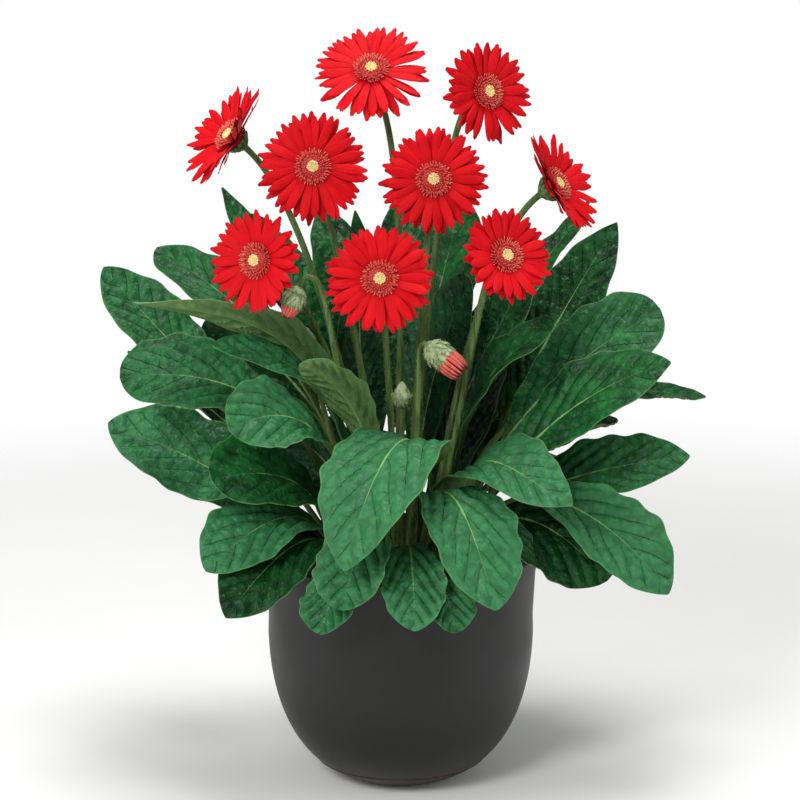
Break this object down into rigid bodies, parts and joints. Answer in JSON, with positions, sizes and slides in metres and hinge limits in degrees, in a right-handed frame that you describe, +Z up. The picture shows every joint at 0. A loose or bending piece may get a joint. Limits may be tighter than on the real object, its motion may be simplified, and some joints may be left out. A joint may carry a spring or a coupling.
{
  "type": "potted gerbera",
  "caption": "Flowering pot plant: red daisy-like blooms and nodding buds on bare stalks over a rosette of arching leaves, growing in soil in a plain round bowl planter.",
  "frame": {"origin": "centre of the pot's flat foot, on the surface that it stands on", "axes": "+Z up, the front of the plant looks along -Y, +X to its right as seen from the front"},
  "size_m": [0.5037, 0.3791, 0.6051],
  "materials": {
    "pot": "satin",
    "soil": "matte",
    "leaf": "satin",
    "stalk": "matte",
    "petal": "satin",
    "disc": "matte"
  },
  "bodies": {
    "root": {"pot": "pot", "leaf_01": "leaf", "leaf_02": "leaf", "leaf_03": "leaf", "leaf_04": "leaf", "leaf_05": "leaf", "leaf_06": "leaf", "leaf_07": "leaf", "leaf_08": "leaf", "leaf_09": "leaf", "leaf_10": "leaf", "leaf_11": "leaf", "leaf_12": "leaf", "leaf_13": "leaf", "leaf_14": "leaf", "leaf_15": "leaf", "leaf_16": "leaf", "leaf_17": "leaf", "leaf_18": "leaf", "leaf_19": "leaf", "leaves_left": "leaf", "leaves_right": "leaf", "leaves_back_left": "leaf", "leaves_back_right": "leaf", "leaves_low_left": "leaf", "leaves_low_right": "leaf", "stem_1": "stalk", "rays_1": "petal", "disc_1": "disc", "stem_2": "stalk", "rays_2": "petal", "disc_2": "disc", "stem_3": "stalk", "rays_3": "petal", "disc_3": "disc", "stem_4": "stalk", "rays_4": "petal", "disc_4": "disc", "stem_5": "stalk", "rays_5": "petal", "disc_5": "disc", "stem_6": "stalk", "rays_6": "petal", "disc_6": "disc", "stem_7": "stalk", "rays_7": "petal", "disc_7": "disc", "stem_8": "stalk", "rays_8": "petal", "disc_8": "disc", "stem_9": "stalk", "rays_9": "petal", "disc_9": "disc", "bud_1": "stalk", "bud_petals_1": "petal", "bud_2": "stalk", "bud_petals_2": "petal", "bud_3": "stalk", "bud_4": "stalk", "soil": "soil"}
  },
  "joints": []
}
